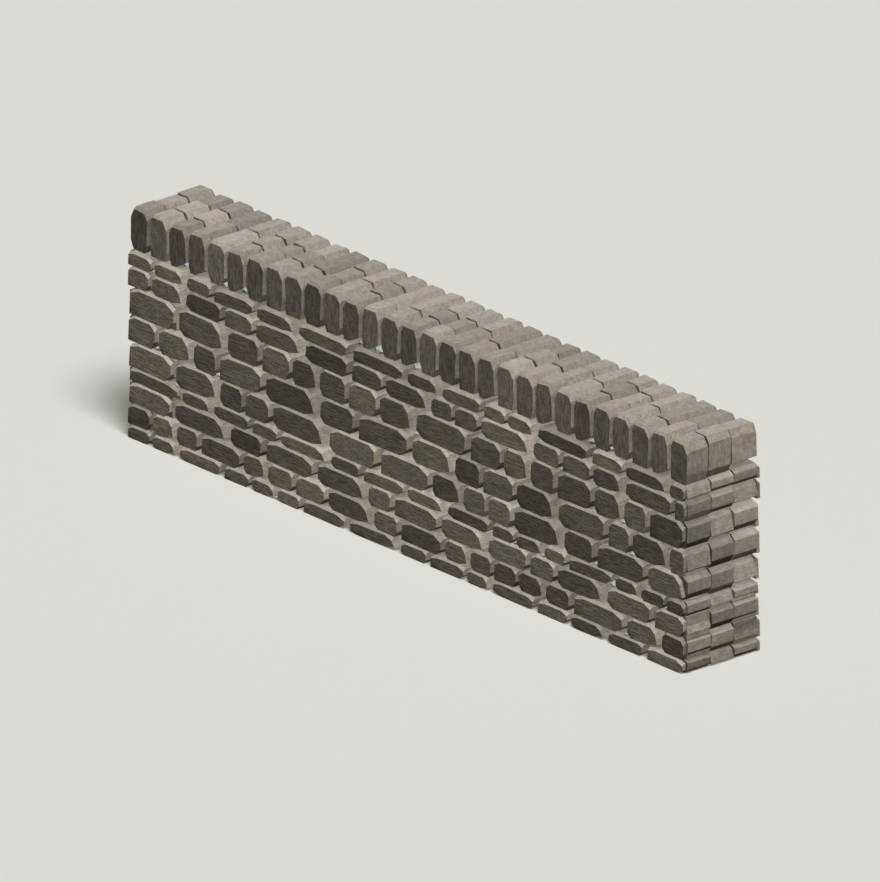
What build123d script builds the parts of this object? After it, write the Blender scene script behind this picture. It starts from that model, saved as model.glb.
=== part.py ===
from build123d import *
import os

# A dry stone wall, built here as a mason builds it: two faces of coursed
# stones, end blocks across each end, rubble hearting between the faces and
# a row of cope stones set on edge along the top.  Sizes are in mm.  The
# length runs along X, the front face looks along -Y and the base is at z = 0.

# Driving dimensions
WALL_LENGTH = 4000.0      # to the middle of the joints with the next bay
WALL_THICKNESS = 480.0    # over the two faces
END_INSET = 3.0           # from there to the faces of the end blocks
FACE_DEPTH = 167.0        # of a face stone, from the face into the wall
SLIP_DEPTH = 21.0         # of the thin face stone that covers an end block
CORE_BLOCK_LENGTH = 180.0  # of the middle end block, as far as the hearting
LANE_JOINT = 4.0          # round an end block, towards its neighbours
JOINT_LEAST = 6.0         # upright joint of a face stone: a least width
JOINT_SHARE = 0.10        # and a share of the stone's pitch
CLIP_LIMIT = 75.0         # longest knocked-off corner along a stone
ARRIS_DROP = 13.0         # the riven slope along a stone's upper outer edge
ARRIS_RUN = 16.0
MARGINED = (2, 3)         # courses whose corner blocks keep a margin level with the slip

COPE_HEIGHT = 216.0
COPE_JOINT = 19.0         # between rows
COPE_LANE_JOINT = 6.0     # between stones of one row
COPE_TRIM = 3.0           # step in height between neighbouring cope stones
COPE_EASE_SIZE = 5.0      # rubbed edge where two stones of one row meet

# Heights of the courses, from the ground up
COURSE_HEIGHTS = (72.0, 108.0, 110.0, 73.0, 130.0, 135.0, 143.0, 103.0, 77.0)

# Length of each stone in a course with its joint, left to right on the front
# face, in centimetres of a 4 m wall.  Long and short stones are mixed so that
# no upright joint runs on through the next course.
BOND = (
    (18, 18, 33, 20, 18, 18, 33, 37, 21, 27, 17, 33, 24, 26, 28, 29),
    (18, 17, 17, 31, 17, 20, 23, 33, 19, 32, 18, 17, 18, 19, 19, 39, 25, 18),
    (33, 40, 25, 37, 37, 18, 34, 33, 31, 19, 35, 35, 23),
    (39, 22, 28, 20, 36, 23, 32, 28, 33, 17, 20, 17, 34, 18, 19, 14),
    (34, 32, 18, 19, 40, 37, 38, 22, 18, 18, 36, 23, 37, 28),
    (22, 25, 18, 33, 39, 27, 39, 31, 20, 24, 29, 37, 17, 27, 12),
    (36, 35, 25, 22, 19, 21, 22, 25, 40, 24, 19, 19, 27, 21, 18, 27),
    (17, 24, 28, 22, 35, 34, 24, 33, 17, 18, 38, 21, 22, 22, 37, 8),
    (19, 23, 19, 31, 29, 39, 40, 24, 31, 17, 20, 40, 24, 32, 12),
)

# The three ways a walling stone breaks, as its outline seen from the front:
# (along, up) as shares of its length and height, from the lower left round.
OUTLINES = {
    "butt": ((0, 0), (0.86, 0), (1, 0.31), (1, 0.78), (0.81, 1), (0.23, 1), (0.02, 0.84)),
    "loaf": ((0.11, 0), (0.62, 0.02), (1, 0.2), (0.91, 0.76), (0.75, 1), (0.17, 1), (0, 0.84), (0, 0.19)),
    "nose": ((0.14, 0), (0.9, 0), (0.98, 0.24), (1, 0.8), (0.87, 1), (0.19, 1), (0.03, 0.83), (0, 0.23)),
}
SQUARED = ((0, 0), (1, 0), (1, 1), (0, 1))
FACE_ORDER = ("butt", "loaf", "nose")
END_ORDER = ("nose", "loaf", "butt")

# The same breaks on cope stones, which stand on edge
COPE_OUTLINES = {
    "square": ((0.05, 0), (0.89, 0), (1, 0.27), (1, 0.8), (0.74, 1), (0.14, 1), (0, 0.84)),
    "keystone": ((0.18, 0), (0.82, 0), (0.96, 0.19), (1, 0.83), (0.8, 0.99), (0.18, 1), (0, 0.8), (0, 0.2)),
    "leaning": ((0.11, 0), (0.4, 0), (1, 0.19), (0.95, 0.79), (0.79, 1), (0.14, 0.98), (0, 0.8), (0, 0.16)),
}
COPE_ORDER = ("square", "keystone", "leaning")

# Each cope row, from the left: its front stone's outline, then where the row
# is split into stones, as per cent of the cope's width from the front.
COPE_ROWS = (
    ("keystone", 30, 63), ("square", 31, 65), ("leaning", 31, 66), ("leaning", 50),
    ("keystone", 53), ("leaning", 32, 63), ("keystone", 36, 63), ("square", 33, 63),
    ("square", 36), ("keystone", 33, 67), ("keystone", 51), ("leaning", 36, 68),
    ("leaning", 29), ("keystone", 37), ("leaning", 36, 62), ("keystone", 30, 62),
    ("keystone", 55), ("square", 39), ("leaning", 36), ("square", 35, 68),
    ("square", 46), ("leaning", 63), ("keystone", 49), ("leaning", 34, 71),
    ("keystone", 32, 64), ("keystone", 48), ("square", 32), ("leaning", 48),
    ("square", 31, 64),
)

# Sizes that follow from the driving dimensions
HALF_LENGTH = WALL_LENGTH / 2
HALF_THICKNESS = WALL_THICKNESS / 2
CORE_HALF = HALF_THICKNESS - FACE_DEPTH
CORE_HALF_LENGTH = HALF_LENGTH - CORE_BLOCK_LENGTH
BODY_HEIGHT = sum(COURSE_HEIGHTS)
COPE_WIDTH = WALL_THICKNESS - 2 * SLIP_DEPTH
COPE_PITCH = WALL_LENGTH / len(COPE_ROWS)
ARRIS = (ARRIS_DROP, ARRIS_RUN)
COPE_EASE = (COPE_EASE_SIZE, COPE_EASE_SIZE)


def corner(share, length):
    """Place of an outline's point along a stone, no corner longer than CLIP_LIMIT."""
    from_end = min(min(share, 1 - share) * length, CLIP_LIMIT)
    return from_end if share < 0.5 else length - from_end


def outline_face(outline, x, y, z):
    """The outline drawn at y, between the (low, high) limits x and z."""
    length = x[1] - x[0]
    height = z[1] - z[0]
    points = [Vector(x[0] + corner(u, length), y, z[0] + v * height) for u, v in outline]
    return Face(Wire.make_polygon(points, close=True))


def stone(outline, x, y, z):
    """A stone with the given outline; x, y and z are its (low, high) limits."""
    return Solid.extrude(outline_face(outline, x, y[0], z), Vector(0, y[1] - y[0], 0))


def riven_stone(outline, x, y, z, near_slope, far_slope):
    """A stone whose upper edges slope off towards its near and far face.

    Each slope is (drop, run), or None where the edge is left as it broke."""
    near_run = near_slope[1] if near_slope else 0
    far_run = far_slope[1] if far_slope else 0
    low = y[0] + near_run
    high = y[1] - far_run
    shape = stone(outline, x, (low, high), z)
    for slope, level, way in ((near_slope, low, -1), (far_slope, high, 1)):
        if slope:
            drop, run = slope
            face = outline_face(outline, x, level, z)
            straight = Solid.extrude(face, Vector(0, way * run, 0))
            sloping = Solid.extrude(face, Vector(0, way * run, -drop))
            shape += straight & sloping
    return shape.solid()


def course_stones(course):
    """(low, high) limits along X of the stones in one course, left to right."""
    scale = WALL_LENGTH / sum(BOND[course])
    limits = []
    start = -HALF_LENGTH
    for share in BOND[course]:
        pitch = share * scale
        half_joint = (JOINT_LEAST + JOINT_SHARE * pitch) / 2
        limits.append((start + half_joint, start + pitch - half_joint))
        start += pitch
    return limits


def course_bed(course):
    """(low, high) limits in height of one course."""
    low = sum(COURSE_HEIGHTS[:course])
    return low, low + COURSE_HEIGHTS[course]


def face_course(course):
    """One course of the front face; its first and last stones are slips."""
    limits = course_stones(course)
    stones = []
    for index, span in enumerate(limits):
        at_end = index in (0, len(limits) - 1)
        depth = SLIP_DEPTH if at_end else FACE_DEPTH
        outline = OUTLINES[FACE_ORDER[index % len(FACE_ORDER)]]
        y = (-HALF_THICKNESS, depth - HALF_THICKNESS)
        stones.append(riven_stone(outline, span, y, course_bed(course), ARRIS, None))
    return Compound(stones)


def end_course(course):
    """The three blocks across the right-hand end of one course."""
    limits = course_stones(course)
    bed = course_bed(course)
    outer = HALF_THICKNESS - SLIP_DEPTH
    # for each block: where it starts and where the slip beside it ends, then its sides
    lanes = (
        (limits[-1][0], limits[-1][1], -outer, -CORE_HALF),
        (CORE_HALF_LENGTH, None, LANE_JOINT - CORE_HALF, CORE_HALF - LANE_JOINT),
        (-limits[0][1], -limits[0][0], CORE_HALF, outer),
    )
    blocks = []
    for lane, (start, slip_end, near, far) in enumerate(lanes):
        outline = OUTLINES[END_ORDER[(lane - course) % len(END_ORDER)]]
        block = stone(outline, (start, HALF_LENGTH - END_INSET), (near, far), bed)
        if course + 1 in MARGINED and slip_end:
            margin = stone(SQUARED, (start, slip_end), (near, far), bed)
            block = (block + margin).solid()
        blocks.append(block)
    return Compound(blocks)


def hearting():
    """The rubble packed between the two faces, one mass from base to cope."""
    corner_at = Plane((-CORE_HALF_LENGTH, -CORE_HALF, 0))
    return Solid.make_box(2 * CORE_HALF_LENGTH, 2 * CORE_HALF, BODY_HEIGHT, corner_at)


def cope_row(row):
    """The stones of one cope row, front to back."""
    first, *splits = COPE_ROWS[row]
    start = -HALF_LENGTH + row * COPE_PITCH
    x = (start + COPE_JOINT / 2, start + COPE_PITCH - COPE_JOINT / 2)
    shares = [0] + [split / 100 for split in splits] + [1]
    stones = []
    for lane, (near, far) in enumerate(zip(shares, shares[1:])):
        near_gap = COPE_LANE_JOINT / 2 if lane else 0
        far_gap = COPE_LANE_JOINT / 2 if far < 1 else 0
        y = ((near - 0.5) * COPE_WIDTH + near_gap, (far - 0.5) * COPE_WIDTH - far_gap)
        turn = COPE_ORDER.index(first) + lane
        outline = COPE_OUTLINES[COPE_ORDER[turn % len(COPE_ORDER)]]
        top = BODY_HEIGHT + COPE_HEIGHT - COPE_TRIM * ((row + 2 * lane) % 3)
        near_slope = COPE_EASE if lane else ARRIS
        far_slope = COPE_EASE if far < 1 else ARRIS
        stones.append(riven_stone(outline, x, y, (BODY_HEIGHT, top), near_slope, far_slope))
    return stones


def save(shape, name):
    export_step(shape, "parts/" + name + ".step")


os.makedirs("parts", exist_ok=True)

for course in range(len(COURSE_HEIGHTS)):
    number = str(course + 1)
    front = face_course(course)
    right = end_course(course)
    save(front, "front_course_" + number)
    save(front.rotate(Axis.Z, 180), "back_course_" + number)
    save(right, "right_end_course_" + number)
    save(right.rotate(Axis.Z, 180), "left_end_course_" + number)

save(hearting(), "hearting")

rows = [cope_row(row) for row in range(len(COPE_ROWS))]
save(Compound([row[0] for row in rows]), "cope_front")
save(Compound([row[1] for row in rows if len(row) == 3]), "cope_middle")
save(Compound([row[-1] for row in rows]), "cope_back")
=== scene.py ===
# %% [markdown]
# # A dry stone wall
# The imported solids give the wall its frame: nine courses of stones on two faces, blocks
# across the ends, rubble hearting between them and cope stones on edge along the top.
# This script dresses them.  Every stone gets its riven faces, its own small lean and worn
# edges, the stone its colour, bedding and grain, and some open joints their pins.  All
# lengths are in metres; the wall runs along x, its front looks along -y and z is up.

# %% Load the frame
import math
import random
from types import SimpleNamespace

import bmesh
import bpy
from mathutils import Color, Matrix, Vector


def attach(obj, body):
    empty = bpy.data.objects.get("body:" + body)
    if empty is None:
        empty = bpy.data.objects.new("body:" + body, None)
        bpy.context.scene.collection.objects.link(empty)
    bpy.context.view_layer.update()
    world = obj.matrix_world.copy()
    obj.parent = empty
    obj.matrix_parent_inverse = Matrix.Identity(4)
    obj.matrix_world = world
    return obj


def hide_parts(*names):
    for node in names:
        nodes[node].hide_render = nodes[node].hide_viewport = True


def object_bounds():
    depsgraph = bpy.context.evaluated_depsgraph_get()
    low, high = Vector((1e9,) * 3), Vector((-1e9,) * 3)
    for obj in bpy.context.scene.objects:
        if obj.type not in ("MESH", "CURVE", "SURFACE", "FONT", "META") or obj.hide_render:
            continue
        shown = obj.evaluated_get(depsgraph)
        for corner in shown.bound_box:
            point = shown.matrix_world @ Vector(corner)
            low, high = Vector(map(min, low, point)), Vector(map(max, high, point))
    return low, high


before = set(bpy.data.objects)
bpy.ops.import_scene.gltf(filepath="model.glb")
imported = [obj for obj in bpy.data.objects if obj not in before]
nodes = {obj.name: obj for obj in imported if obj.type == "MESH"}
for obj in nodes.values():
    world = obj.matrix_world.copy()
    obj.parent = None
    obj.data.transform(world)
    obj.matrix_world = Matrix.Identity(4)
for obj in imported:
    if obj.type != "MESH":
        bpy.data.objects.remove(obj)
cad_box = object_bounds()
print("nodes:", len(nodes), "box:", cad_box)

# %% [markdown]
# ## The stones of a course
# A course comes as one piece, but in the wall it is a row of stones with open joints.
# Each could be made an object of its own, and four hundred objects would be slow to
# handle.  Instead they stay together in one mesh and are found as its islands, corners
# that edges join.  They are put in order from the left, so that every stone keeps its
# number, and with it its looks, each time the script runs.

# %% Tell the stones of a course apart
PLACE_DECIMALS = 4


def box_of(stone):
    """The low and high corner of the box round a stone."""
    low = Vector(min(corner.co[axis] for corner in stone) for axis in range(3))
    high = Vector(max(corner.co[axis] for corner in stone) for axis in range(3))
    return low, high


def place_of(stone):
    """The low corner, to the tenth of a millimetre, by which stones are put in order."""
    return [round(limit, PLACE_DECIMALS) for limit in box_of(stone)[0]]


def islands(bm):
    """The separate stones of a mesh, as lists of their corners, from the left and the front."""
    left = set(bm.verts)
    found = []
    while left:
        stone = [left.pop()]
        for corner in stone:
            for edge in corner.link_edges:
                other = edge.other_vert(corner)
                if other in left:
                    left.remove(other)
                    stone.append(other)
        found.append(stone)
    return sorted(found, key=place_of)


print("stones are put in order to", 10 ** -PLACE_DECIMALS, "m")

# %% [markdown]
# ### True faces
# A solid arrives as loose triangles.  Sculpting on these would crease at random, and a
# remesh would round every arris off.  Merging the corners and dissolving the flat edges
# gives back each stone's true faces, which divide evenly later.  Every stone is told its
# own middle and size, so that what follows can treat all stones alike, whatever course
# they lie in.

# %% One clean island per stone
MERGE_DISTANCE = 0.0001
FLAT_ANGLE = math.radians(1)


def clean_stones(node):
    """A copy of a node's mesh with true faces, each stone marked with its box."""
    bm = bmesh.new()
    bm.from_mesh(node.data)
    bmesh.ops.remove_doubles(bm, verts=bm.verts, dist=MERGE_DISTANCE)
    bmesh.ops.dissolve_limit(bm, angle_limit=FLAT_ANGLE, verts=bm.verts, edges=bm.edges)
    middle = bm.verts.layers.float_vector.new("stone_middle")
    half = bm.verts.layers.float_vector.new("stone_half")
    number = bm.verts.layers.float.new("stone_number")
    limits = []
    for index, stone in enumerate(islands(bm)):
        low, high = box_of(stone)
        limits.append((low, high))
        for corner in stone:
            corner[middle] = (low + high) / 2
            corner[half] = (high - low) / 2
            corner[number] = index
    mesh = bpy.data.meshes.new(node.name + "_stones")
    bm.to_mesh(mesh)
    bm.free()
    piece = bpy.data.objects.new(node.name + "_stones", mesh)
    bpy.context.scene.collection.objects.link(piece)
    return piece, limits


pieces, boxes = {}, {}
for name, node in sorted(nodes.items()):
    if name != "hearting":
        pieces[name], boxes[name] = clean_stones(node)
print("stones:", sum(len(course) for course in boxes.values()), "in", len(pieces), "pieces")

# %% [markdown]
# ## Nodes in words
# Both the shapes and the finishes below are trees of nodes.  A tree can be wired by hand
# in the node editor, which is quick to try out, but a change then has to be found and
# made again by eye.  Written as a script, every box is a call and every wire an argument,
# so a few helpers make the trees read like sentences and build the same way each time.

# %% Helpers for all node trees
def add(tree, kind, **settings):
    """A node of one kind, with its plain settings."""
    node = tree.nodes.new(kind)
    for name, value in settings.items():
        setattr(node, name, value)
    return node


def feed(tree, node, **inputs):
    """Sets or links a node's inputs by name or, as in1, by place."""
    for name, value in inputs.items():
        key = int(name[2:]) if name[:2] == "in" and name[2:].isdigit() else name.replace("_", " ")
        socket = node.inputs[key]
        if isinstance(value, bpy.types.NodeSocket):
            tree.links.new(value, socket)
        else:
            socket.default_value = value
    return node


def step(tree, kind, **inputs):
    """The first result of a new node, fed with its inputs."""
    return feed(tree, add(tree, kind), **inputs).outputs[0]


def announce(use, *helpers):
    """Prints which helpers a cell made, and what for."""
    print("for", use + ":", *(helper.__name__ for helper in helpers))


announce("every tree", add, feed, step)

# %% [markdown]
# ### Sums, vectors and noise
# Sizes, masks and shades are all worked out by arithmetic on every point.  Each node does
# one sum only, and a page of single sums, with all their sockets, is hard to follow.  A
# helper for each kind of sum lets a formula stand on one line, as it would on paper.

# %% Helpers for numbers and vectors
def maths(tree, operation, a, b=0.0, c=0.0):
    """The result of one step of arithmetic."""
    node = add(tree, "ShaderNodeMath", operation=operation)
    return feed(tree, node, in0=a, in1=b, in2=c).outputs[0]


def product(tree, first, *more):
    """Several values multiplied; of masks from 0 to 1, what lies in all of them."""
    for value in more:
        first = maths(tree, "MULTIPLY", first, value)
    return first


def vector_maths(tree, operation, a, b=(0, 0, 0)):
    """The result of one step of arithmetic on vectors."""
    node = add(tree, "ShaderNodeVectorMath", operation=operation)
    feed(tree, node, in0=a, in1=b)
    return node.outputs["Value" if operation == "DOT_PRODUCT" else "Vector"]


def resized(tree, vector, factor):
    """A vector made longer or shorter."""
    node = add(tree, "ShaderNodeVectorMath", operation="SCALE")
    return feed(tree, node, in0=vector, Scale=factor).outputs[0]


def parts_of(tree, vector):
    """The x, y and z of a vector."""
    return feed(tree, add(tree, "ShaderNodeSeparateXYZ"), in0=vector).outputs


def vector_of(tree, x=0.0, y=0.0, z=0.0):
    """A vector out of three numbers."""
    return step(tree, "ShaderNodeCombineXYZ", in0=x, in1=y, in2=z)


def noise_of(tree, place, grain, shift, detail=3.0, roughness=0.55):
    """Noise with grains of the given size in metres along x, y and z."""
    spot = vector_maths(tree, "ADD", vector_maths(tree, "DIVIDE", place, grain), shift)
    return step(tree, "ShaderNodeTexNoise", Vector=spot, Scale=1.0, Detail=detail,
                Roughness=roughness)


announce("numbers", maths, product, noise_of)
announce("vectors", vector_maths, resized, parts_of, vector_of)

# %% [markdown]
# ### What only shapes need
# A tree for shapes reads and stores values on the mesh, throws dice for each stone and
# takes its sizes by name, like a tool with dials.  The sizes could be written into the
# tree, but then walling and cope would need a tree each.  Every tree ends the same way,
# in real geometry that wears its material, because instances don't outlive the script.

# %% Helpers for Geometry Nodes
def named(tree, name, data_type):
    """A value stored on the mesh, read inside Geometry Nodes."""
    node = add(tree, "GeometryNodeInputNamedAttribute", data_type=data_type)
    return feed(tree, node, Name=name).outputs["Attribute"]


def store(tree, geometry, name, data_type, value, domain="POINT"):
    """Stores a value on the mesh and passes the geometry on."""
    node = add(tree, "GeometryNodeStoreNamedAttribute", data_type=data_type, domain=domain)
    return feed(tree, node, Geometry=geometry, Name=name, Value=value).outputs[0]


def dice_of(tree, low, high, **inputs):
    """Three random numbers for every stone or chip, each between its low and its high."""
    node = add(tree, "FunctionNodeRandomValue", data_type="FLOAT_VECTOR")
    return feed(tree, node, in0=low, in1=high, **inputs).outputs[0]


def new_tree(name, inputs):
    """An empty Geometry Nodes tree with named inputs; gives the tree and its inputs."""
    tree = bpy.data.node_groups.new(name, "GeometryNodeTree")
    tree.interface.new_socket("Geometry", in_out="INPUT", socket_type="NodeSocketGeometry")
    for label, (kind, default) in inputs.items():
        socket = tree.interface.new_socket(label, in_out="INPUT", socket_type=kind)
        if default is not None:
            socket.default_value = default
    tree.interface.new_socket("Geometry", in_out="OUTPUT", socket_type="NodeSocketGeometry")
    return tree, add(tree, "NodeGroupInput").outputs


def hold(tree, geometry, given):
    """Keeps stones from growing out of the wall's own box."""
    here = step(tree, "GeometryNodeInputPosition")
    low = vector_maths(tree, "MAXIMUM", here, given["Low limit"])
    held = vector_maths(tree, "MINIMUM", low, given["High limit"])
    return step(tree, "GeometryNodeSetPosition", Geometry=geometry, Position=held)


def finish_tree(tree, geometry, material):
    """Ends a tree with real geometry that wears one material."""
    real = step(tree, "GeometryNodeRealizeInstances", Geometry=geometry)
    worn = step(tree, "GeometryNodeSetMaterial", Geometry=real, Material=material)
    tree.links.new(worn, add(tree, "NodeGroupOutput").inputs["Geometry"])


announce("shapes", named, store, dice_of, new_tree, hold, finish_tree)

# %% [markdown]
# ## The riven stone
# A mason splits walling stone along its bed and knocks the corners off, so its faces are
# nearly flat, a little proud or hollow, and no two stones sit quite square.  Modelling
# four hundred stones by hand would take days, and a displacement map would tear at the
# arrises.  Geometry Nodes do it for every stone at once: divide the faces, lean each
# stone by its own small random slope, sink the surface by a slow noise and mark the
# edges that a bevel then rounds.

# %% The sizes that the tree takes
RIVEN_INPUTS = {
    "Divisions": ("NodeSocketInt", 2),
    "Slope": ("NodeSocketFloat", 0.02),
    "Lean": ("NodeSocketFloat", 0.0),
    "Relief": ("NodeSocketFloat", 0.003),
    "Relief size": ("NodeSocketFloat", 0.09),
    "Low limit": ("NodeSocketVector", None),
    "High limit": ("NodeSocketVector", None),
    "Seed": ("NodeSocketInt", 0),
    "Stone": ("NodeSocketMaterial", None),
}
print("riven stone takes:", ", ".join(RIVEN_INPUTS))

# %% [markdown]
# ### Slope and lean
# A stone beds where its underside lets it, so courses look level only from afar, and a
# cope stone leans on its neighbour.  Turning each stone as an object would need four
# hundred objects.  Lifting a point by its distance along the stone does the same for
# angles as small as these, and needs only the stone's middle, which its mesh remembers.

# %% Slope and lean
def tilt_of(tree, given, chance, out):
    """How far a point moves as its stone slopes along the wall or leans over."""
    rise = product(tree, chance[0], given["Slope"], out[0])
    lean = product(tree, chance[0], given["Lean"], out[2], -1.0)
    return vector_of(tree, x=lean, z=rise)


slope = RIVEN_INPUTS["Slope"][1]
print("a slope of", slope, "is", round(math.degrees(slope), 1), "degrees")

# %% [markdown]
# ### The broken surface
# A riven face swells and sinks by a millimetre or two over a hand's breadth.  Sculpting
# or a displacement image could give it, but both would have to be made afresh for each
# stone.  One slow noise, moved to another spot by each stone's own chance, gives every
# stone its own face.  It only sinks the surface, so no stone outgrows its solid.

# %% The broken surface
STONE_SHIFT = (7.0, 7.0, 7.0)


def sink_of(tree, given, place, dice):
    """How far a point sinks below its flat face."""
    shift = vector_maths(tree, "MULTIPLY", dice, STONE_SHIFT)
    size = vector_of(tree, given["Relief size"], given["Relief size"], given["Relief size"])
    noise = noise_of(tree, place, size, shift, detail=2.0, roughness=0.5)
    depth = maths(tree, "MULTIPLY", noise, given["Relief"])
    normal = step(tree, "GeometryNodeInputNormal")
    return resized(tree, normal, maths(tree, "MULTIPLY", depth, -1.0))


print("one swell or hollow is about", RIVEN_INPUTS["Relief size"][1], "m across")

# %% [markdown]
# ### Worn arrises
# The edges of old walling stone are rubbed, most of all those that run into the wall,
# where hammer and handling knocked them.  The arris round the face stays crisper.  One
# bevel for all would make the stones look cast, so the tree gives each edge its share
# of the rounding, and a bevel that follows these shares does the cutting.

# %% Worn arrises
ARRIS_ANGLE = math.radians(14)
INTO_THE_WALL = 0.9
FACE_SHARE, INNER_SHARE = 0.3, 1.0


def mark_arrises(tree, geometry):
    """Marks each sharp edge with its share of the rounding."""
    angle = add(tree, "GeometryNodeInputMeshEdgeAngle").outputs["Unsigned Angle"]
    ends = add(tree, "GeometryNodeInputMeshEdgeVertices")
    along = vector_maths(tree, "NORMALIZE", vector_maths(
        tree, "SUBTRACT", ends.outputs["Position 2"], ends.outputs["Position 1"]))
    into = maths(tree, "ABSOLUTE", vector_maths(tree, "DOT_PRODUCT", along, (0, 1, 0)))
    inner = maths(tree, "GREATER_THAN", into, INTO_THE_WALL)
    rounding = maths(tree, "MULTIPLY_ADD", inner, INNER_SHARE - FACE_SHARE, FACE_SHARE)
    sharp = maths(tree, "GREATER_THAN", angle, ARRIS_ANGLE)
    rounded = maths(tree, "MULTIPLY", sharp, rounding)
    return store(tree, geometry, "bevel_weight_edge", "FLOAT", rounded, "EDGE")


print("the face's arris gets", FACE_SHARE, "of the rounding of an inner one")

# %% [markdown]
# ### The whole tree
# The steps follow one another as at a mason's bench: divide, tilt and sink, keep within
# the wall, mark the arrises.  Last, each point is told its stone's chances and its place
# in the stone, from -1 to 1 each way.  The finish could work these out from the position
# alone only if all stones were alike, and they aren't, so they travel with the mesh.

# %% The riven stone tree
def riven_tree():
    """Leaning, riven and edge-marked stones out of plain ones."""
    tree, given = new_tree("riven_stones", RIVEN_INPUTS)
    middle = named(tree, "stone_middle", "FLOAT_VECTOR")
    half = named(tree, "stone_half", "FLOAT_VECTOR")
    place = step(tree, "GeometryNodeInputPosition")
    out = vector_maths(tree, "SUBTRACT", place, middle)
    dice = dice_of(tree, (-1, -1, -1), (1, 1, 1), Seed=given["Seed"],
                   ID=named(tree, "stone_number", "FLOAT"))

    divided = step(tree, "GeometryNodeSubdivideMesh",
                   Mesh=given["Geometry"], Level=given["Divisions"])
    tilt = tilt_of(tree, given, parts_of(tree, dice), parts_of(tree, out))
    offset = vector_maths(tree, "ADD", sink_of(tree, given, place, dice), tilt)
    moved = step(tree, "GeometryNodeSetPosition", Geometry=divided, Offset=offset)
    marked = mark_arrises(tree, hold(tree, moved, given))

    chances = store(tree, marked, "stone_chance", "FLOAT_VECTOR", dice)
    share = vector_maths(tree, "DIVIDE", out, half)
    within = store(tree, chances, "stone_place", "FLOAT_VECTOR", share)
    smooth = step(tree, "GeometryNodeSetShadeSmooth", Geometry=within)
    finish_tree(tree, smooth, given["Stone"])
    return tree


RIVEN = riven_tree()
print("riven tree:", len(RIVEN.nodes), "nodes")

# %% [markdown]
# ### Run a tree and keep its mesh
# A modifier could stay live, but a wall is moved, measured and handed on as plain mesh.
# So the tree and the bevel are run once, the result is kept as the piece's own mesh and
# the modifiers are taken off.  The weighted normals keep the broad faces of a rounded
# stone looking flat, where plain smooth shading would make them bulge.

# %% Apply a tree to a piece
BEVEL_SEGMENTS = 2
print("facets across a worn arris:", BEVEL_SEGMENTS)


def run_tree(piece, tree, values, rounding=0.0):
    """Runs a tree on a piece, rounds its marked edges and keeps the plain mesh."""
    modifier = piece.modifiers.new("dressing", "NODES")
    modifier.node_group = tree
    for item in tree.interface.items_tree:
        if item.item_type == "SOCKET" and item.in_out == "INPUT" and item.name in values:
            modifier[item.identifier] = values[item.name]
    if rounding:
        worn = piece.modifiers.new("worn arrises", "BEVEL")
        worn.limit_method = "WEIGHT"
        worn.width = rounding
        worn.segments = BEVEL_SEGMENTS
        worn.use_clamp_overlap = True
        piece.modifiers.new("even shading", "WEIGHTED_NORMAL")
    seen = piece.evaluated_get(bpy.context.evaluated_depsgraph_get())
    mesh = bpy.data.meshes.new_from_object(seen)
    piece.modifiers.clear()
    piece.data = mesh


# %% [markdown]
# ## Weathered sandstone
# The stone is one buff sandstone throughout, yet no two faces of it look the same: what
# shows depends on its beds, on the side that the weather reaches and on what grows or
# settles there.  An image texture would repeat from stone to stone, and painting four
# hundred stones would take days.  Noise that is shifted by each stone's own chance does
# not repeat, and it follows the stone's own place in the wall, so no unwrapping is
# needed.  The finish is laid on in thin layers, as a painter would glaze it, a cell each.

# %% Helpers for materials
def show(**colours):
    """Prints colours as a screen shows them, 0 to 255; nodes take them as linear light."""
    for name, colour in colours.items():
        screen = Color(colour[:3]).from_scene_linear_to_srgb()
        print(name.replace("_", " ") + ":", [round(255 * part) for part in screen])


def value_of(tree, name):
    """The vector that the riven tree stored on the mesh."""
    return add(tree, "ShaderNodeAttribute", attribute_name=name).outputs["Vector"]


def between(tree, value, low, high):
    """0 at low, 1 at high, with soft ends."""
    node = add(tree, "ShaderNodeMapRange", interpolation_type="SMOOTHSTEP")
    return feed(tree, node, in0=value, in1=low, in2=high).outputs[0]


def blend(tree, share, base, over, how="MIX"):
    """One colour laid over another by a share from 0 to 1."""
    node = add(tree, "ShaderNodeMix", data_type="RGBA", blend_type=how)
    return feed(tree, node, in0=share, in6=base, in7=over).outputs[2]


def line(tree, value, rise, start):
    """A straight line: start where the value is 0, and rise more where it is 1."""
    return maths(tree, "MULTIPLY_ADD", value, rise, start)


def rest_of(tree, share):
    """What a share leaves over."""
    return maths(tree, "SUBTRACT", 1.0, share)


def unsigned(tree, value):
    """A value without its sign."""
    return maths(tree, "ABSOLUTE", value)


def mixture(tree, *parts):
    """The sum of several values, each times its share."""
    value, share = parts[0]
    total = maths(tree, "MULTIPLY", value, share)
    for value, share in parts[1:]:
        total = maths(tree, "MULTIPLY_ADD", value, share, total)
    return total


announce("materials", show, value_of, between, blend, line, rest_of, unsigned, mixture)
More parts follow.
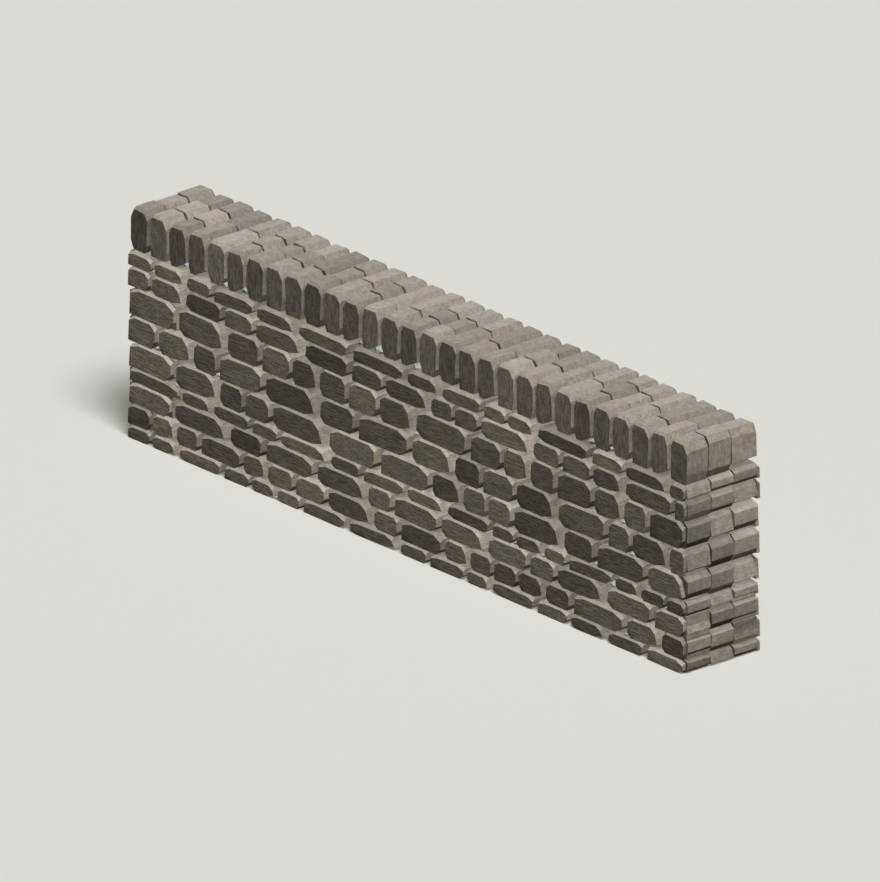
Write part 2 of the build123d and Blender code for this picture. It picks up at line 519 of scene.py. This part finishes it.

# %% [markdown]
# ### What the layers share
# Weather, moss and the painted shade each keep to certain sides of a stone, and its sand
# and blotches show in several layers.  Every layer could work these out for itself, but
# then a pale patch in one would not meet the same patch in the next.  So the facings and
# the noises are worked out once.  Sizes of grains are in metres, facings run from 0 to 1.

# %% Facings and noises
FINISH_SHIFT = (11.0, 11.0, 11.0)
SAND_GRAIN = (0.007, 0.007, 0.007)
MOTTLE_GRAIN = (0.022, 0.022, 0.022)
PATCH_GRAIN = (0.03, 0.03, 0.03)
FULL_ON = (0.8, 0.95)    # looks straight out of the wall, or straight along it
UPRIGHT = (0.5, 0.2)     # hardly looks up or down
SLOPING = (0.96, 0.8)    # looks up, but less than a flat top does
ARRIS_OUT = (0.3, 0.5)  # the arris looks out this much
ARRIS_UP = (0.5, 0.7)   # and up this much
print("sand is", SAND_GRAIN[0], "m across, a patch", PATCH_GRAIN[0], "m")


def surface_of(tree, streak, band):
    """What every layer reads; streak and band are the sizes of the bed's marks."""
    place = add(tree, "ShaderNodeTexCoord").outputs["Object"]
    chance = value_of(tree, "stone_chance")
    facing = parts_of(tree, add(tree, "ShaderNodeNewGeometry").outputs["Normal"])
    shift = vector_maths(tree, "MULTIPLY", chance, FINISH_SHIFT)
    at = SimpleNamespace(place=place, shift=shift, chances=parts_of(tree, chance))
    at.within = parts_of(tree, value_of(tree, "stone_place"))
    at.along = unsigned(tree, facing[0])
    at.outward = unsigned(tree, facing[1])
    at.up = facing[2]
    at.flank = between(tree, at.along, *FULL_ON)
    at.weather = between(tree, at.outward, *FULL_ON)
    at.upright = between(tree, unsigned(tree, at.up), *UPRIGHT)
    at.slope = between(tree, at.up, *SLOPING)
    at.arris = product(tree, between(tree, at.outward, *ARRIS_OUT),
                       between(tree, at.up, *ARRIS_UP))
    at.fine = noise_of(tree, place, streak, shift)
    at.broad = noise_of(tree, place, band, shift, detail=2.0)
    at.sand = noise_of(tree, place, SAND_GRAIN, shift, detail=2.0, roughness=0.6)
    at.mottle = noise_of(tree, place, MOTTLE_GRAIN, shift)
    at.patches = noise_of(tree, place, PATCH_GRAIN, shift, detail=2.0)
    return at


# %% [markdown]
# ### Bedding
# Sandstone is laid down bed by bed, and a broken face shows the beds as thin streaks:
# level on the walling stones, upright on the cope stones, which stand on edge.  A wave
# texture would draw them as even as corduroy.  Noise stretched along the bed breaks off
# and starts again as real streaks do; sand grains and broad bands are added by fixed
# shares.  The weather washes the soft beds out, so streaks are boldest on its side.

# %% Bedding
DEEP = (0.245, 0.215, 0.170, 1)
PALE = (0.495, 0.448, 0.377, 1)
BAND_SHARE, STREAK_SHARE, SAND_SHARE = 0.16, 0.44, 0.4
DEEP_BELOW, PALE_ABOVE = 0.26, 0.74
WASHED_OUT = 0.18        # how far the weather moves both towards the middle
show(deep=DEEP, pale=PALE)


def bedding(tree, at):
    """The marks of the bed, and the colour of a broken face."""
    marks = mixture(tree, (at.broad, BAND_SHARE), (at.fine, STREAK_SHARE), (at.sand, SAND_SHARE))
    low = line(tree, at.weather, WASHED_OUT, DEEP_BELOW)
    high = line(tree, at.weather, -WASHED_OUT, PALE_ABOVE)
    return marks, blend(tree, between(tree, marks, low, high), DEEP, PALE)


# %% [markdown]
# ### The top of a bed, and patches
# Where the stone split along its bed, the top is smoother and pinker than a broken face,
# with soft mottling and no streaks.  Faces away from the weather keep patches of pinker
# and yellower stone.  Both could be two materials split by face, with a hard line where
# they meet; a mask by how much the surface looks up or out changes softly instead.

# %% The top of a bed, and patches
BED = (0.310, 0.273, 0.257, 1)
BED_PALE = (0.405, 0.371, 0.308, 1)
PINKER = (0.94, 0.91, 1.01, 1)
YELLOWER = (1.06, 1.07, 0.985, 1)
FLAT_TOP = (0.93, 0.985)
BED_COVER = 0.85
MOTTLE_SHARE, SPECKLE_SHARE = 0.75, 0.25
TWO_TONES = (0.38, 0.62)  # part a noise softly in two
show(bed=BED, pale_bed=BED_PALE)


def bed_top(tree, at, colour):
    """The smooth top of a bed over the broken stone."""
    speckle = mixture(tree, (at.mottle, MOTTLE_SHARE), (at.sand, SPECKLE_SHARE))
    top = blend(tree, between(tree, speckle, *TWO_TONES), BED, BED_PALE)
    flat = between(tree, at.up, *FLAT_TOP)
    return blend(tree, maths(tree, "MULTIPLY", flat, BED_COVER), colour, top)


def patched(tree, at, colour):
    """Pinker and yellower patches wherever the weather doesn't reach."""
    tint = blend(tree, between(tree, at.patches, *TWO_TONES), PINKER, YELLOWER)
    return blend(tree, rest_of(tree, at.weather), colour, tint, "MULTIPLY")


# %% [markdown]
# ### Flanks
# The ends of the wall and the flanks of its cope stones look along it.  They are a little
# yellower, and blotched where damp dried unevenly.  A noise of their own would lay one
# more pattern over patches and sand; the blotches follow those two instead, so that all
# the marks on a flank belong together.

# %% Flanks
OCHRE = (0.40, 0.31, 0.14, 1)
FLANK_OCHRE = 0.03
BLOTCH_DEPTH = 0.35
show(ochre=OCHRE)


def yellowed(tree, at, colour):
    """A trace of ochre on the flanks."""
    return blend(tree, maths(tree, "MULTIPLY", at.flank, FLANK_OCHRE), colour, OCHRE)


def blotches_of(tree, at):
    """The brightness of the blotches on a flank, 1 everywhere else."""
    uneven = maths(tree, "SUBTRACT", maths(tree, "ADD", at.patches, at.sand), 1.0)
    return line(tree, product(tree, uneven, at.flank), BLOTCH_DEPTH, 1.0)


# %% [markdown]
# ### The weather side
# The two long faces take the weather, which browns them and brings out specks of ochre.
# The arris above each face is painted pale: partly wear from hands, sheep and rain, partly
# a painted highlight where the light falls full on it.  Edge wear is often drawn by
# Pointiness, which depends on how finely the mesh is divided.  Here the slope is a face of
# its own, so the way it looks, both out and up, finds it exactly.

# %% The weather side
WEATHERED = (0.23, 0.19, 0.125, 1)
WORN_AND_LIT = (0.53, 0.49, 0.415, 1)
WEATHERED_SHARE = 0.25
SPECK_GRAIN = (0.016, 0.016, 0.007)
SPECKED = (0.53, 0.66)
SPECK_SHARE = 0.35
show(weathered=WEATHERED, worn=WORN_AND_LIT)


def weathered(tree, at, colour, rubbed_and_lit):
    """Browned faces with specks, and an arris made pale by wear and a painted highlight."""
    colour = blend(tree, maths(tree, "MULTIPLY", at.weather, WEATHERED_SHARE), colour, WEATHERED)
    specks = noise_of(tree, at.place, SPECK_GRAIN, at.shift, detail=2.0)
    specked = product(tree, between(tree, specks, *SPECKED), at.weather, SPECK_SHARE)
    colour = blend(tree, specked, colour, OCHRE)
    # the pale arris is partly wear and partly a painted highlight
    return blend(tree, maths(tree, "MULTIPLY", at.arris, rubbed_and_lit), colour, WORN_AND_LIT)


# %% [markdown]
# ### Rust, moss and lichen
# Iron in the stone rusts in spots low on the upright faces, moss holds on in the damp
# corner at the foot, and lichen colours the slopes under the upper edge.  Scattered
# tufts would only show from very near, and painted masks would be alike on all stones.
# Each growth keeps to its place in the stone, and a noise eats its edge away.

# %% Rust, moss and lichen
BROWN = (0.33, 0.22, 0.11, 1)
MOSS = (0.085, 0.115, 0.04, 1)
LICHEN = (0.39, 0.38, 0.25, 1)
RUST_GRAIN = (0.03, 0.03, 0.012)
RUSTY = (0.55, 0.7)
RUST_HEIGHT = (0.5, -0.6)     # from none to full on the way down the stone
RUST_SHARE = 0.5
DAMP_CORNER = (-0.75, -1.7)   # along and up added, which is -2 in the corner itself
MOSSY = (0.35, 0.6)
CROWN = (0.3, 0.8)            # from none to full on the way up
LICHENED = (0.47, 0.62)
show(rust=BROWN, moss=MOSS, lichen=LICHEN)


def rusted(tree, at, colour):
    """Rusty spots on the lower part of the upright faces."""
    spots = noise_of(tree, at.place, RUST_GRAIN, at.shift, detail=2.0)
    low_down = between(tree, at.within[2], *RUST_HEIGHT)
    rust = product(tree, between(tree, spots, *RUSTY), at.upright, low_down, RUST_SHARE)
    return blend(tree, rust, colour, BROWN)


def overgrown(tree, at, colour, moss, lichen):
    """Moss in the lower left corner of a face, lichen along its upper edge."""
    corner = between(tree, maths(tree, "ADD", at.within[0], at.within[2]), *DAMP_CORNER)
    mossy = product(tree, corner, at.upright, between(tree, at.broad, *MOSSY), moss)
    colour = blend(tree, mossy, colour, MOSS)
    crown = between(tree, at.within[2], *CROWN)
    lichened = product(tree, crown, at.slope, between(tree, at.mottle, *LICHENED), lichen)
    return blend(tree, lichened, colour, LICHEN)


# %% [markdown]
# ### Damp margins
# Two courses of corner blocks have a squared margin round a broken outline.  The margin
# lies deeper than the outline, so it dries last and stays dark green.  It could have a
# material of its own, but it is part of the block's one mesh; how far it lies from the
# block's end tells it apart.

# %% Damp margins
MARGIN_FACING = (0.975, 0.99)
MARGIN_PLACE = (0.965, 0.945)  # behind the end of the block, which is at 1
print("a margin lies below", MARGIN_PLACE[0], "of the way to the block's end")


def damp_margins(tree, at, colour, margin):
    """Moss on what looks along the wall but lies behind the end of its block."""
    sunk = product(tree, between(tree, at.along, *MARGIN_FACING),
                   between(tree, unsigned(tree, at.within[0]), *MARGIN_PLACE))
    return blend(tree, maths(tree, "MULTIPLY", sunk, margin), colour, MOSS)


# %% [markdown]
# ### Each stone its own tone
# The stones come from many beds of a quarry, so one is darker and the next paler, and the
# weather brings the difference out.  A wall of one tone looks printed.  A material for
# each stone would make hundreds; one material that turns the stone's own chances into
# its tone does the same.

# %% Each stone its own tone
EDGE = (0.9, 1.0)
EDGE_SHARE = 0.12
WEATHER_SPREAD = 0.62
WEATHER_LIGHTER = 0.04
SATURATION_SPREAD = 0.05
print("the weather side's tones spread", 1 + WEATHER_SPREAD, "times as far")


def own_tone(tree, at, colour, tones):
    """Paler edges, and a stone's own brightness and strength of colour."""
    edge = maths(tree, "MAXIMUM", unsigned(tree, at.within[0]), unsigned(tree, at.within[2]))
    worn = maths(tree, "MULTIPLY", between(tree, edge, *EDGE), EDGE_SHARE)
    spread = line(tree, at.weather, WEATHER_SPREAD * tones, tones)
    return step(tree, "ShaderNodeHueSaturation", Color=blend(tree, worn, colour, PALE),
                Saturation=line(tree, at.chances[2], SATURATION_SPREAD, 1.0),
                Value=line(tree, at.chances[1], spread,
                           line(tree, at.weather, WEATHER_LIGHTER, 1.0)))


# %% [markdown]
# ### Painted shade in the joints and on ledges
# Painted shade: the colour darkens where shade would fall, deep in the joints, most of all
# on what faces up, and on every ledge but the arris, since the stones shade no other stone.
# Painting it would take a mask for every stone.  Ambient occlusion measures how closed in
# a point is, so the joints darken by themselves wherever the stones come to lie.

# %% Painted shade in the joints
SHADE_REACH = 0.036
SHADE_SAMPLES = 6
SHADE_DEPTH = 0.38
SHADE_ON_TOPS = 0.17      # more on what faces up
SHADED_TOP = (0.2, 0.7)
LEDGE_FACING = (0.1, 0.3)
LEDGE_SHADE = -0.09
print("dirt reaches", SHADE_REACH, "m out of a joint")


def painted_joint_shade(tree, at, colour, blotches):
    """Painted shade, darker in the joints and on the ledges, times the flank blotches."""
    off_arris = rest_of(tree, at.arris)
    # ambient occlusion, turned into painted shade in the colour
    painted_shade = add(tree, "ShaderNodeAmbientOcclusion", samples=SHADE_SAMPLES)
    hidden = rest_of(tree, feed(tree, painted_shade, Distance=SHADE_REACH).outputs["AO"])
    depth = line(tree, between(tree, at.up, *SHADED_TOP), SHADE_ON_TOPS, SHADE_DEPTH)
    joints = rest_of(tree, product(tree, depth, off_arris, hidden))
    # painted shade on the sloping ledges
    ledge = product(tree, at.slope, between(tree, at.up, *LEDGE_FACING), off_arris)
    shade = product(tree, joints, line(tree, ledge, LEDGE_SHADE, 1.0), blotches)
    return step(tree, "ShaderNodeHueSaturation", Color=colour, Value=shade)


# %% [markdown]
# ### Grain and gloss
# Between the streaks the stone is as rough as coarse sandpaper, too fine for the mesh.
# Real grooves would need millions of faces for a relief of a millimetre or less, so a
# bump does it, a little stronger on the weather side.  The stone has next to no gloss,
# and its pale beds, which are harder, have a trace more of it.

# %% Grain and gloss
FINE_GRAIN = (0.004, 0.004, 0.004)
STREAK_HEIGHT, SAND_HEIGHT, GRAIN_HEIGHT = 1.0, 0.5, 0.3
BUMP_DEPTH = 0.003
BUMP_STRENGTH, WEATHER_BUMP = 0.3, 0.4
DULL, PALE_BEDS_GLOSS = 0.97, -0.14
STONE_SPECULAR = 0.2
print("the bump is", BUMP_STRENGTH, "strong and", WEATHER_BUMP, "more in the weather")


def grained(tree, at, marks, colour):
    """Gives the shader its colour, its roughness and the grain of the stone."""
    grain = noise_of(tree, at.place, FINE_GRAIN, at.shift, detail=4.0, roughness=0.65)
    height = mixture(tree, (at.fine, STREAK_HEIGHT), (at.sand, SAND_HEIGHT),
                     (grain, GRAIN_HEIGHT))
    bump = step(tree, "ShaderNodeBump", Distance=BUMP_DEPTH, Height=height,
                Strength=line(tree, at.weather, WEATHER_BUMP, BUMP_STRENGTH))
    shader = feed(tree, tree.nodes["Principled BSDF"], Base_Color=colour, Normal=bump,
                  Roughness=line(tree, marks, PALE_BEDS_GLOSS, DULL))
    shader.inputs["Specular IOR Level"].default_value = STONE_SPECULAR


# %% [markdown]
# ### The three stones
# Walling stone, corner blocks and cope stone are the same rock.  The cope has its beds
# upright and its arrises neither worn pale nor given the painted highlight, and the corner
# blocks have their damp margins.  Three separate materials wired one by one would drift
# apart with every change.  One function with a few shares makes all three, so that they
# stay one stone.

# %% The three stones
def sandstone(name, streak, band, tones, moss, lichen, rubbed_and_lit, margin=0.0):
    """The material; streak and band are in metres, the others are shares."""
    material = bpy.data.materials.new(name)
    material.use_nodes = True
    tree = material.node_tree
    at = surface_of(tree, streak, band)
    marks, colour = bedding(tree, at)
    colour = bed_top(tree, at, colour)
    colour = patched(tree, at, colour)
    colour = yellowed(tree, at, colour)
    # browning and specks, and a pale arris that is partly wear, partly painted highlight
    colour = weathered(tree, at, colour, rubbed_and_lit)
    colour = rusted(tree, at, colour)
    colour = overgrown(tree, at, colour, moss, lichen)
    colour = damp_margins(tree, at, colour, margin)
    colour = own_tone(tree, at, colour, tones)
    # painted shade in the joints and on the ledges, and the real blotches on the flanks
    colour = painted_joint_shade(tree, at, colour, blotches_of(tree, at))
    grained(tree, at, marks, colour)
    print(name + ":", len(tree.nodes), "nodes")
    return material


# the last share sets the pale arris, partly wear and partly a painted highlight
WALLING = {"streak": (0.048, 0.048, 0.007), "band": (0.10, 0.10, 0.03), "tones": 0.26,
           "moss": 0.75, "lichen": 0.2, "rubbed_and_lit": 0.32}
COPE = {"streak": (0.010, 0.010, 0.045), "band": (0.04, 0.04, 0.08), "tones": 0.25,
        "moss": 0.6, "lichen": 0.25, "rubbed_and_lit": 0.0}
WALLING_STONE = sandstone("walling_stone", **WALLING)
CORNER_STONE = sandstone("corner_stone", margin=0.2, **WALLING)
COPE_STONE = sandstone("cope_stone", **COPE)

# %% [markdown]
# ## Hearting
# The middle of the wall is packed with small broken rubble.  It was never out in the
# weather, so it is fresh, pale and bluish, and it shows only as a glimpse between the
# stones.  Thousands of modelled chips would never be seen.  A Voronoi texture parts the
# packed mass into cells and gives each a grey and a hollow of its own, which is enough.

# %% Hearting rubble
RUBBLE_DARK = (0.37, 0.39, 0.405, 1)
RUBBLE_PALE = (0.55, 0.565, 0.575, 1)
CHIPS_PER_METRE = 22.0
DUST_GRAIN = (0.012, 0.012, 0.012)
DUST_SHIFT = (3.0, 1.0, 2.0)
DUST_SHARE = 0.5
RUBBLE_BUMP, RUBBLE_DEPTH = 0.6, 0.006
RUBBLE_DULL, DUST_GLOSS = 0.95, -0.2
show(rubble_dark=RUBBLE_DARK, rubble_pale=RUBBLE_PALE)


def hearting_material():
    """Fresh chips of pale, bluish stone, never weathered."""
    material = bpy.data.materials.new("hearting_rubble")
    material.use_nodes = True
    tree = material.node_tree
    place = add(tree, "ShaderNodeTexCoord").outputs["Object"]
    chips = feed(tree, add(tree, "ShaderNodeTexVoronoi"), Vector=place, Scale=CHIPS_PER_METRE)
    tone = parts_of(tree, chips.outputs["Color"])[0]
    dust = noise_of(tree, place, DUST_GRAIN, DUST_SHIFT)
    share = mixture(tree, (tone, 1 - DUST_SHARE), (dust, DUST_SHARE))
    height = maths(tree, "ADD", chips.outputs["Distance"], dust)
    bump = step(tree, "ShaderNodeBump", Strength=RUBBLE_BUMP, Distance=RUBBLE_DEPTH,
                Height=height)
    feed(tree, tree.nodes["Principled BSDF"], Normal=bump,
         Base_Color=blend(tree, share, RUBBLE_DARK, RUBBLE_PALE),
         Roughness=line(tree, dust, DUST_GLOSS, RUBBLE_DULL))
    return material


HEARTING = hearting_material()
nodes["hearting"].data.materials.clear()
nodes["hearting"].data.materials.append(HEARTING)
print("hearting:", len(HEARTING.node_tree.nodes), "nodes")

# %% [markdown]
# ## Dress every course
# Now the tree, the bevel and the finish meet the courses.  The stones could be dressed as
# one mesh, but a course that stays its own piece can be lifted off, counted or refinished.
# The cope stones stand on edge with little to hold them, so they slope and lean more than
# the walling.  Each course has a seed of its own, or all would slope alike.  Nothing
# may grow past the box of the solids, because the wall has to fit where they do.

# %% Dress every course
ARRIS_ROUNDING = 0.0028
LIMITS = {"Low limit": tuple(cad_box[0]), "High limit": tuple(cad_box[1])}
EVERY_STONE = {"Divisions": 2, "Relief": 0.002, **LIMITS}
WALLING_SET = {"Slope": 0.026, "Lean": 0.0}
COPE_SET = {"Slope": 0.04, "Lean": 0.03}
MARGINED = ("end_course_2", "end_course_3")


def triangles_of(mesh):
    """The number of triangles that a mesh comes to."""
    return sum(len(face.vertices) - 2 for face in mesh.polygons)


def dress(name, seed):
    """Gives a course its shape and its finish; it throws no light, so joints stay deep."""
    piece = pieces[name]
    cope = name.startswith("cope")
    walling = CORNER_STONE if name.endswith(MARGINED) else WALLING_STONE
    values = {**EVERY_STONE, **(COPE_SET if cope else WALLING_SET),
              "Seed": seed, "Stone": COPE_STONE if cope else walling}
    run_tree(piece, RIVEN, values, ARRIS_ROUNDING)
    piece.visible_diffuse = False
    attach(piece, "root")
    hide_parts(name)


for seed, name in enumerate(sorted(nodes)):
    if name != "hearting":
        dress(name, seed)
print("triangles:", sum(triangles_of(piece.data) for piece in pieces.values()))

# %% [markdown]
# ## Pins
# Where a joint gapes, the mason pushes small chips of fresh stone in from the face to
# wedge the larger stones.  They could be modelled one at a time; a tree that sets a rough
# chip on each of a few chosen joints keeps them small, angular and all different.  The
# joints are chosen first: many under the cope, which is wedged most, and few below.

# %% Choose the joints
PIN_SIZE = 0.013
PIN_SEED = 7
# The share of joints that take a chip, then its least and greatest size in PIN_SIZE
COPE_PINS = (0.4, 1.3, 2.2)
WALLING_PINS = (0.12, 0.8, 1.4)
PIN_DEPTH = (0.016, 0.022)  # of its middle behind the face, for a chip of size 1
PIN_REST = 0.4              # height of its middle over its bed, in PIN_SIZE
PIN_WIDTH = 1.15            # half its width, in its depth
PIN_GRIP = 0.004            # how far it reaches in under the stone's flank


def pin_places():
    """Points at the foot of some joints, a little inside the two faces, and their sizes."""
    chance = random.Random(PIN_SEED)
    points, sizes = [], []
    for name, course in sorted(boxes.items()):
        if "end" in name or name == "cope_middle":
            continue
        face = -1 if "front" in name else 1
        share, least, most = COPE_PINS if "cope" in name else WALLING_PINS
        ordered = sorted(course, key=lambda box: -face * box[0].x)
        for low, high in ordered[1:]:
            if chance.random() > share:
                continue
            size = chance.uniform(least, most)
            depth = chance.uniform(*PIN_DEPTH) * size
            flank, front = (low.x, low.y) if face < 0 else (high.x, high.y)
            points.append((flank + face * (PIN_WIDTH * depth - PIN_GRIP), front - face * depth,
                           low.z + PIN_SIZE * PIN_REST * size))
            sizes.append(size)
    return points, sizes


points, sizes = pin_places()
print("joints with a chip:", len(points))

# %% [markdown]
# ### The chips
# A pin is a flake off the hammer: flat, sharp-edged and never the same twice.  It could
# be one modelled flake, copied, and the eye would soon find the copies.  A ball of
# twenty flat faces, stretched and turned by chance, is rough enough for a thing so small
# and costs next to nothing.

# %% Chips in the open joints
PIN_INPUTS = {
    "Size": ("NodeSocketFloat", 0.01),
    "Low limit": ("NodeSocketVector", None),
    "High limit": ("NodeSocketVector", None),
    "Seed": ("NodeSocketInt", 0),
    "Stone": ("NodeSocketMaterial", None),
}
LEAST_TURN, MOST_TURN = (-0.3, -0.3, -0.6), (0.3, 0.3, 0.6)
LEAST_FORM, MOST_FORM = (1.2, 0.9, 0.45), (1.8, 1.4, 0.75)
FORM_SEED = 3
CHIP_FACES = 20  # of an icosphere that isn't divided further


def pin_tree():
    """A rough chip on every point of a mesh."""
    tree, given = new_tree("pins", PIN_INPUTS)
    ball = step(tree, "GeometryNodeMeshIcoSphere", Radius=given["Size"], Subdivisions=1)
    turn = dice_of(tree, LEAST_TURN, MOST_TURN, Seed=given["Seed"])
    form = dice_of(tree, LEAST_FORM, MOST_FORM, Seed=given["Seed"])
    size = resized(tree, form, named(tree, "pin_size", "FLOAT"))
    chips = step(tree, "GeometryNodeInstanceOnPoints", Points=given["Geometry"],
                 Instance=ball, Rotation=turn, Scale=size)
    loose = step(tree, "GeometryNodeRealizeInstances", Geometry=chips)
    finish_tree(tree, hold(tree, loose, given), given["Stone"])
    return tree


spots = bpy.data.meshes.new("pins")
spots.from_pydata(points, [], [])
spots.attributes.new("pin_size", "FLOAT", "POINT").data.foreach_set("value", sizes)
pins = bpy.data.objects.new("pins", spots)
bpy.context.scene.collection.objects.link(pins)
run_tree(pins, pin_tree(), {"Size": PIN_SIZE, "Seed": FORM_SEED, "Stone": HEARTING, **LIMITS})
pins.visible_diffuse = False
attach(pins, "root")
print("chips made:", len(pins.data.polygons) // CHIP_FACES)

# %% [markdown]
# ## The studio floor
# A plain pale floor lets the wall and its shadow be seen and nothing else.  A curved
# backdrop is the usual studio answer, but this view looks down far enough for a flat
# plane to fill it.  The floor throws no light back at the stones: a weak light from below
# stands in for that, evenly along the whole wall.

# %% Pale floor
FLOOR_SIZE = 60
FLOOR_COLOUR = (0.712, 0.697, 0.663, 1)


def pale_floor():
    """A wide matt floor that is seen but lights nothing."""
    bpy.ops.mesh.primitive_plane_add(size=FLOOR_SIZE)
    floor = bpy.context.object
    floor.name = "floor"
    pale = bpy.data.materials.new("floor")
    pale.use_nodes = True
    shader = pale.node_tree.nodes["Principled BSDF"]
    shader.inputs["Base Color"].default_value = FLOOR_COLOUR
    shader.inputs["Roughness"].default_value = 1.0
    floor.data.materials.append(pale)
    floor.visible_diffuse = False
    floor.visible_glossy = False
    return floor


floor = pale_floor()
print("floor:", FLOOR_SIZE, "m square")

# %% [markdown]
# ## Soft light
# The wall is seen in even, hazy light: bright from above, dim on the weather side, with
# one soft shadow on the floor.  Area lamps close by would fall off along four metres of
# wall.  Suns don't, and light linking lets the key model the stones while another casts
# the shadow, so that each can be as soft and as strong as it should.

# %% Suns
def group_of(name, things):
    """A collection for lights to be linked to."""
    group = bpy.data.collections.new(name)
    for thing in things:
        group.objects.link(thing)
    return group


def sun(name, lit, direction, energy, spread, shadow=False, colour=(1, 1, 1)):
    """A sun that lights only the objects of one collection."""
    lamp_data = bpy.data.lights.new(name, "SUN")
    lamp_data.energy = energy
    lamp_data.color = colour
    lamp_data.angle = math.radians(spread)
    lamp_data.use_shadow = shadow
    lamp = bpy.data.objects.new(name, lamp_data)
    bpy.context.scene.collection.objects.link(lamp)
    lamp.rotation_euler = Vector(direction).to_track_quat("Z", "Y").to_euler()
    lamp.light_linking.receiver_collection = lit


SOFT, HAZY = 12, 22  # the spread of a sun, in degrees
HIGH_RIGHT = (0.455, -0.165, 0.871)
SHADOW_WAY = (0.454, -0.189, 0.871)
BEHIND_LEFT = (-0.64, 0.76, 0.05)
FROM_BELOW = (0.15, 0.0, -0.99)
COOL, WARM = (0.965, 0.97, 1), (1, 0.98, 0.86)

ground = group_of("ground", [floor])
wall = group_of("wall", [thing for thing in bpy.context.scene.objects
                         if thing.type == "MESH" and thing is not floor])
sun("key", wall, HIGH_RIGHT, energy=3.15, spread=SOFT)
sun("back light", wall, BEHIND_LEFT, energy=0.85, spread=SOFT)
sun("ground light", wall, FROM_BELOW, energy=0.2, spread=SOFT)
sun("floor light", ground, SHADOW_WAY, energy=2.76, spread=HAZY, shadow=True, colour=COOL)
sun("floor fill", ground, SHADOW_WAY, energy=0.74, spread=HAZY, colour=WARM)

# %% [markdown]
# ## Sky and backdrop
# Between the suns, a faint dome fills the joints, a little brighter above than below.  A
# sky image would bring in colours and reflections that sandstone doesn't need.  Seen from
# low down, the dome would show dark past the floor's edge, so whatever looks straight at
# it sees a backdrop as pale as the floor instead.

# %% Sky and backdrop
SKY_COLOUR = (1, 0.99, 0.97, 1)
SKY_LEVEL = 0.03
SKY_SLOPE = 0.06
BACKDROP = (0.716, 0.701, 0.665, 1)
show(backdrop=BACKDROP)


def sky():
    """A soft dome, bright above and dim below, behind a backdrop as pale as the floor."""
    world = bpy.data.worlds.new("studio")
    bpy.context.scene.world = world
    world.use_nodes = True
    tree = world.node_tree
    upward = parts_of(tree, add(tree, "ShaderNodeTexCoord").outputs["Generated"])[2]
    strength = maths(tree, "MAXIMUM", line(tree, upward, SKY_SLOPE, SKY_LEVEL), 0.0)
    dome = feed(tree, tree.nodes["Background"], in0=SKY_COLOUR, in1=strength).outputs[0]
    backdrop = step(tree, "ShaderNodeBackground", in0=BACKDROP, in1=1.0)
    seen = add(tree, "ShaderNodeLightPath").outputs["Is Camera Ray"]
    either = step(tree, "ShaderNodeMixShader", in0=seen, in1=dome, in2=backdrop)
    tree.links.new(either, tree.nodes["World Output"].inputs["Surface"])
    return world


print("sky:", len(sky().node_tree.nodes), "nodes")

# %% [markdown]
# ## Camera
# The wall is looked at over its right-hand front corner, from a little above, so that its
# face, its end and its top all show.  A lens from nearby would make the far end shrink.
# An orthographic camera keeps the courses parallel, and measures stay true along them.
# The Standard view shows colours as they were mixed; a filmic one would soften them.

# %% Camera
VIEW_WIDTH = 4.141
AZIMUTH, ELEVATION = math.radians(49.0), math.radians(21.9)
AIM = Vector((-0.0283, 0.0, 0.5103))
EYE_DISTANCE = 12
VIEW_DEPTH = 100


def camera():
    """An orthographic camera that looks at the middle of the wall."""
    lens = bpy.data.cameras.new("camera")
    lens.type = "ORTHO"
    lens.ortho_scale = VIEW_WIDTH
    lens.clip_end = VIEW_DEPTH
    eye = bpy.data.objects.new("camera", lens)
    bpy.context.scene.collection.objects.link(eye)
    direction = Vector((math.sin(AZIMUTH) * math.cos(ELEVATION),
                        -math.cos(AZIMUTH) * math.cos(ELEVATION), math.sin(ELEVATION)))
    eye.location = AIM + direction * EYE_DISTANCE
    eye.rotation_euler = direction.to_track_quat("Z", "Y").to_euler()
    return eye


bpy.context.scene.camera = camera()
bpy.context.scene.view_settings.view_transform = "Standard"
print("camera at:", bpy.context.scene.camera.location)
